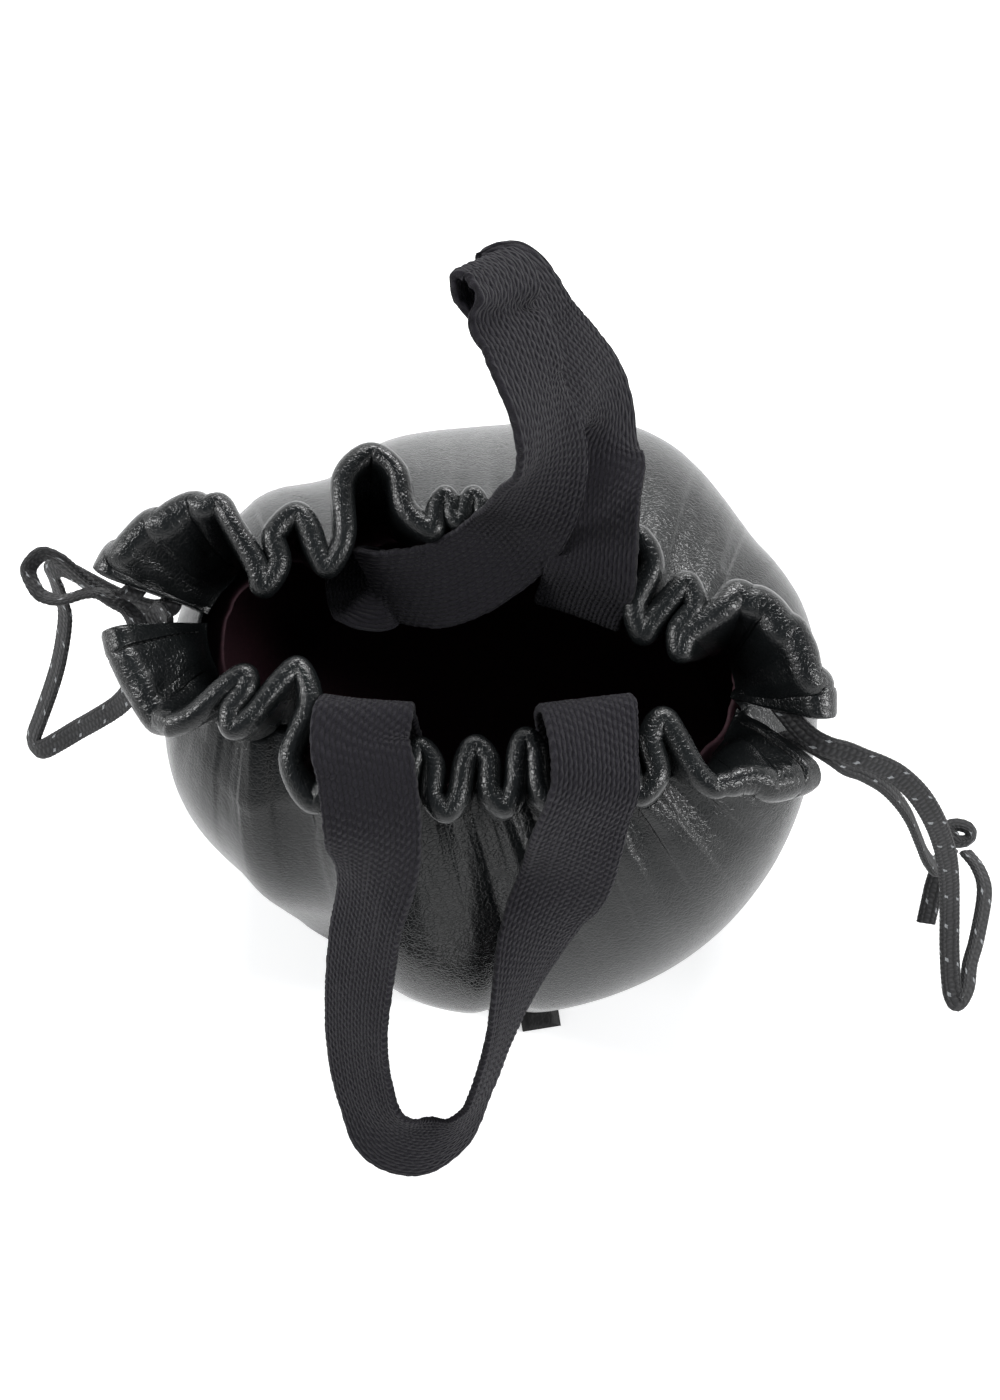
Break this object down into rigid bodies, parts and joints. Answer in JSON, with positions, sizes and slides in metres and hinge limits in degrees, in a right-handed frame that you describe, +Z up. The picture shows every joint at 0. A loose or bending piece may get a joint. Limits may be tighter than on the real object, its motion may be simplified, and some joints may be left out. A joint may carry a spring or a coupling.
{
  "type": "drawstring bag",
  "caption": "Soft leather bucket bag with a gathered drawcord mouth, a cloth lining, webbing handles and drawcords pulled out at the sides.",
  "frame": {"origin": "middle of the underside of the base, on the floor the bag stands on", "axes": "+Z up through the mouth; the front, over which one handle hangs, looks along -Y; the knotted drawcord comes out at +X"},
  "size_m": [0.3621, 0.2991, 0.3227],
  "materials": {
    "leather": "semi-gloss, soft grain",
    "base_leather": "matt",
    "lining_cloth": "plain woven cloth",
    "webbing": "ribbed woven webbing",
    "cord_braid": "flat braid with light flecks"
  },
  "bodies": {
    "root": {"base_panel": "base_leather", "body_shell": "leather", "lining": "lining_cloth", "casing_front": "leather", "casing_back": "leather", "handle_front": "webbing", "handle_back": "webbing", "cord_left_pull": "cord_braid", "cord_left_turn": "cord_braid", "cord_right_long": "cord_braid", "cord_right_short": "cord_braid", "cord_tail": "cord_braid", "cord_knot": "cord_braid", "base_tab": "base_leather"}
  },
  "joints": []
}
